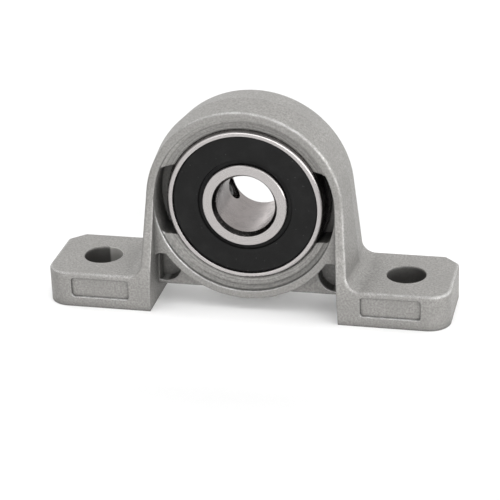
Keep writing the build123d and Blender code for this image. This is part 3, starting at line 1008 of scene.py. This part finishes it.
@dataclass
class SetScrew:
    """One M3 socket set screw with a real thread, a hex socket and a cup point."""

    node: str
    joint: str
    finish: Finish = BlackOxide("black_oxide_steel", Slot.BLACK_STEEL, tone=0.06)
    length: float = 3.0 * MM
    tip_chamfer: float = 0.55 * MM
    top_chamfer: float = 0.2 * MM

    # The thread: it leaves a share of each chamfer plain, and runs out over a share of its pitch.
    crest_radius: float = 1.45 * MM
    thread_depth: float = 0.24 * MM
    pitch: float = 0.5 * MM
    flank_slope: float = 2.5
    crest_width: float = 0.12
    plain_tip_share: float = 0.4
    plain_top_share: float = 0.6
    run_out_share: float = 0.6

    # The cup point, with the radius of each of its rings as a share of the cup's own.
    cup_radius: float = 0.62 * MM
    cup_depth: float = 0.42 * MM
    cup_lip: float = 0.04 * MM
    cup_shares: tuple[float, ...] = (0.03, 0.5, 0.96, 1.06)

    # The hex socket; shares of radius are of half its width across the flats.
    across_flats: float = 1.5 * MM
    socket_depth: float = 1.25 * MM
    wall_taper: float = 0.96
    mouth_shares: Pair = (1.22, 1.16)
    mouth_drops: Pair = (0.1, 0.5)
    drill_point: tuple[Pair, ...] = ((1.08, 0.7), (1.2, 0.04))

    steps_round: int = 60
    steps_per_pitch: int = 12

    def axis(self) -> Vector:
        """Outward direction of the screw, from its own joint."""
        joint = next(entry for entry in frame["joints"] if entry["name"] == self.joint)
        return Vector(joint["axis"]).normalized()

    def tip(self) -> Vector:
        """Centre of the screw's inner end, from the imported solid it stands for."""
        low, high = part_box(self.node)
        return (low + high) / 2 - self.axis() * (self.length / 2)

    def thread_radius(self, angle: float, height: float) -> float:
        """Radius of the threaded flank.

        Args:
            angle: Angle round the screw, in radians.
            height: Distance from the inner end.

        Returns:
            The radius there, with the thread fading out at both ends.
        """
        phase = (height / self.pitch - angle / (2 * pi)) % 1.0
        from_crest = 0.5 - abs(phase - 0.5)
        groove = min(1.0, max(0.0, from_crest * self.flank_slope - self.crest_width))
        from_tip = height - self.tip_chamfer * self.plain_tip_share
        from_top = self.length - self.top_chamfer * self.plain_top_share - height
        fade = min(1.0, max(0.0, min(from_tip, from_top) / (self.pitch * self.run_out_share)))
        cone = max(0.0, self.tip_chamfer - height) + max(0.0, height - self.length + self.top_chamfer)
        return self.crest_radius - cone - groove * self.thread_depth * fade

    def socket_radius(self, angle: float) -> float:
        """Distance from the axis to the hex socket's wall at an angle."""
        sector = pi / 3
        return self.across_flats / 2 / cos((angle % sector) - sector / 2)

    def rings(self) -> list[tuple[float, Callable[[float], float]]]:
        """Rings of the skin from the cup's bottom, over the thread, to the socket's bottom.

        Returns:
            Pairs of a height and a function that gives the radius at an angle.
        """
        skin: list[tuple[float, Callable[[float], float]]] = []
        cup_heights = (self.cup_depth, self.cup_depth / 2, self.cup_lip, 0.0)
        for height, share in zip(cup_heights, self.cup_shares):
            skin.append((height, lambda angle, share=share: self.cup_radius * share))
        count = round(self.length / self.pitch * self.steps_per_pitch)
        for step in range(count + 1):
            height = self.length * step / count
            skin.append((height, lambda angle, height=height: self.thread_radius(angle, height)))
        flat = self.across_flats / 2
        outer, inner = self.mouth_shares
        shallow, deep = self.mouth_drops
        skin += [
            (self.length, lambda angle: flat * outer),
            (self.length - self.top_chamfer * shallow, lambda angle: flat * inner),
            (self.length - self.top_chamfer * deep, self.socket_radius),
            (self.length - self.socket_depth, lambda angle: self.socket_radius(angle) * self.wall_taper),
        ]
        for depth_share, share in self.drill_point:
            height = self.length - self.socket_depth * depth_share
            skin.append((height, lambda angle, share=share: flat * share))
        return skin

    def mesh(self) -> bpy.types.Mesh:
        """Builds the screw's skin about +Z, from its inner end at the origin.

        Returns:
            The closed mesh, smooth shaded.
        """
        made = bmesh.new()
        loops = []
        for height, radius_at in self.rings():
            loop = []
            for step in range(self.steps_round):
                angle = 2 * pi * step / self.steps_round
                radius = radius_at(angle)
                loop.append(made.verts.new((radius * cos(angle), radius * sin(angle), height)))
            loops.append(loop)
        for lower, upper in zip(loops, loops[1:]):
            for step in range(self.steps_round):
                after = (step + 1) % self.steps_round
                made.faces.new((lower[step], lower[after], upper[after], upper[step]))
        made.faces.new(list(reversed(loops[0])))
        made.faces.new(loops[-1])
        bmesh.ops.recalc_face_normals(made, faces=made.faces)
        data = bpy.data.meshes.new(f"{self.node}_threaded")
        made.to_mesh(data)
        made.free()
        data.shade_smooth()
        return data

    def build(self) -> list[bpy.types.Object]:
        """Seats the threaded screw where the plain one is.

        Returns:
            The new object, in a list.
        """
        data = self.mesh()
        turn = self.axis().to_track_quat("Z", "Y").to_matrix().to_4x4()
        data.transform(Matrix.Translation(self.tip()) @ turn)
        piece = bpy.data.objects.new(f"{self.node}_threaded", data)
        bpy.context.scene.collection.objects.link(piece)
        data.materials.append(self.finish.material())
        body = frame["nodes"][self.node]["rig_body"]
        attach(piece, body)
        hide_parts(self.node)
        log.info("threaded %s on %s", self.node, body)
        return [piece]


# ---- Studio --------------------------------------------------------------------------
@dataclass
class Viewpoint:
    """Where the camera stands, and its lens."""

    azimuth: float = radians(13.68)
    elevation: float = radians(24.82)
    roll: float = radians(-2.14)
    distance: float = 255.85 * MM
    aim: Vector = field(default_factory=lambda: Vector((-0.28 * MM, 0.0, 7.01 * MM)))
    lens_mm: float = 136.5
    sensor_mm: float = 36.0
    nearest: float = 0.01
    farthest: float = 5.0

    def build(self) -> bpy.types.Object:
        """Makes the camera and gives it to the scene.

        Returns:
            The camera object.
        """
        back = Vector((
            sin(self.azimuth) * cos(self.elevation),
            -cos(self.azimuth) * cos(self.elevation),
            sin(self.elevation),
        ))
        right = Vector((cos(self.azimuth), sin(self.azimuth), 0.0))
        up = back.cross(right)
        rolled_right = right * cos(self.roll) + up * sin(self.roll)
        rolled_up = up * cos(self.roll) - right * sin(self.roll)
        data = bpy.data.cameras.new("camera")
        data.lens = self.lens_mm
        data.sensor_width = self.sensor_mm
        data.clip_start = self.nearest
        data.clip_end = self.farthest
        camera = bpy.data.objects.new("camera", data)
        turn = Matrix((rolled_right, rolled_up, back)).transposed().to_4x4()
        camera.matrix_world = Matrix.Translation(self.aim + back * self.distance) @ turn
        bpy.context.scene.collection.objects.link(camera)
        bpy.context.scene.camera = camera
        return camera


@dataclass(frozen=True)
class Patch:
    """Round part of the tent that glows more or less than the rest; angles in degrees."""

    toward: Triple
    core: float
    reach: float
    glow: float

    def share(self, graph: Graph, direction: Value) -> Socket:
        """How much of the patch is seen in a direction, from 0 to 1; the result's socket."""
        facing = graph.vector("DOT_PRODUCT", direction, unit(self.toward))
        return graph.span(facing, cos(radians(self.reach)), cos(radians(self.core)))


@dataclass(frozen=True)
class Lamp:
    """A square lamp, aimed at the part."""

    name: str
    stand: Triple
    width: float
    watts: float

    def build(self) -> bpy.types.Object:
        """Stands the lamp in the scene.

        Returns:
            The lamp object.
        """
        data = bpy.data.lights.new(self.name, "AREA")
        data.shape = "SQUARE"
        data.size = self.width
        data.energy = self.watts
        piece = bpy.data.objects.new(self.name, data)
        piece.location = self.stand
        piece.rotation_euler = (-Vector(self.stand)).to_track_quat("-Z", "Y").to_euler()
        bpy.context.scene.collection.objects.link(piece)
        return piece


@dataclass
class Studio:
    """White tent: pale floor, glowing surroundings and a broad lamp above."""

    floor_half_width: float = 1.5
    paper: Finish = WhitePaper("white_paper", None, tone=0.97)
    overhead: Lamp = Lamp("overhead", stand=(-0.08, -0.05, 0.5), width=0.5, watts=0.35)

    # The tent: two dim openings at its upper front, a brighter right side, and a bright low front.
    tent_strength: float = 1.64
    patches: tuple[Patch, ...] = (
        Patch((0.0, -0.62, 0.78), core=8.0, reach=27.0, glow=0.1),
        Patch((-0.75, -0.35, 0.56), core=6.0, reach=26.0, glow=0.4),
        Patch((0.97, 0.0, 0.1), core=10.0, reach=40.0, glow=1.2),
    )
    horizon_toward: Triple = (0.7, -0.71, 0.0)
    horizon_heights: Pair = (0.4, 0.12)
    horizon_facing: Pair = (0.1, 0.95)
    horizon_glow: float = 3.9

    def floor(self) -> bpy.types.Object:
        """Lays the floor on the mounting plane.

        Returns:
            The floor object.
        """
        made = bmesh.new()
        bmesh.ops.create_grid(made, x_segments=2, y_segments=2, size=self.floor_half_width)
        data = bpy.data.meshes.new("floor")
        made.to_mesh(data)
        made.free()
        piece = bpy.data.objects.new("floor", data)
        bpy.context.scene.collection.objects.link(piece)
        data.materials.append(self.paper.material())
        return piece

    def surroundings(self) -> bpy.types.World:
        """Lights the scene from the tent, and shows plain white behind the part.

        Returns:
            The world.
        """
        world = bpy.data.worlds.new("tent")
        world.use_nodes = True
        bpy.context.scene.world = world
        graph = Graph(world.node_tree)
        direction = graph.node("ShaderNodeTexCoord").outputs["Generated"]
        tent: Value = shade(1.0)
        for patch in self.patches:
            tent = graph.mix(patch.share(graph, direction), tent, shade(patch.glow))
        _, _, height = graph.axes(direction)
        ahead = graph.vector("DOT_PRODUCT", direction, unit(self.horizon_toward))
        low = graph.product(
            graph.span(height, *self.horizon_heights), graph.span(ahead, *self.horizon_facing)
        )
        tent = graph.mix(low, tent, shade(self.horizon_glow))
        seen = graph.node("ShaderNodeLightPath").outputs["Is Camera Ray"]
        lit = graph.node("ShaderNodeBackground", {"Color": tent, "Strength": self.tent_strength})
        backdrop = graph.node("ShaderNodeBackground", {"Color": shade(1.0), "Strength": 1.0})
        chosen = graph.node("ShaderNodeMixShader", {0: seen, 1: lit.outputs[0], 2: backdrop.outputs[0]})
        graph.node("ShaderNodeOutputWorld", {"Surface": chosen.outputs[0]})
        return world

    def build(self) -> None:
        """Sets up floor, surroundings and lamp, and shows colours as they are."""
        self.floor()
        self.surroundings()
        self.overhead.build()
        bpy.context.scene.view_settings.view_transform = "Standard"


def main() -> None:
    """Builds the camera, the sub-assemblies and the studio, in that order."""
    logging.basicConfig(level=logging.INFO, format="%(message)s")
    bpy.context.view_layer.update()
    Viewpoint().build()
    assemblies = (
        Housing(),
        Rings(),
        Seals(),
        SealCores(),
        Balls(),
        Cage(),
        SetScrew("set_screw_1", "set_screw_1_travel"),
        SetScrew("set_screw_2", "set_screw_2_travel"),
    )
    for assembly in assemblies:
        for piece in assembly.build():
            log.info("%s ready", piece.name)
    Studio().build()


if __name__ == "__main__":
    main()
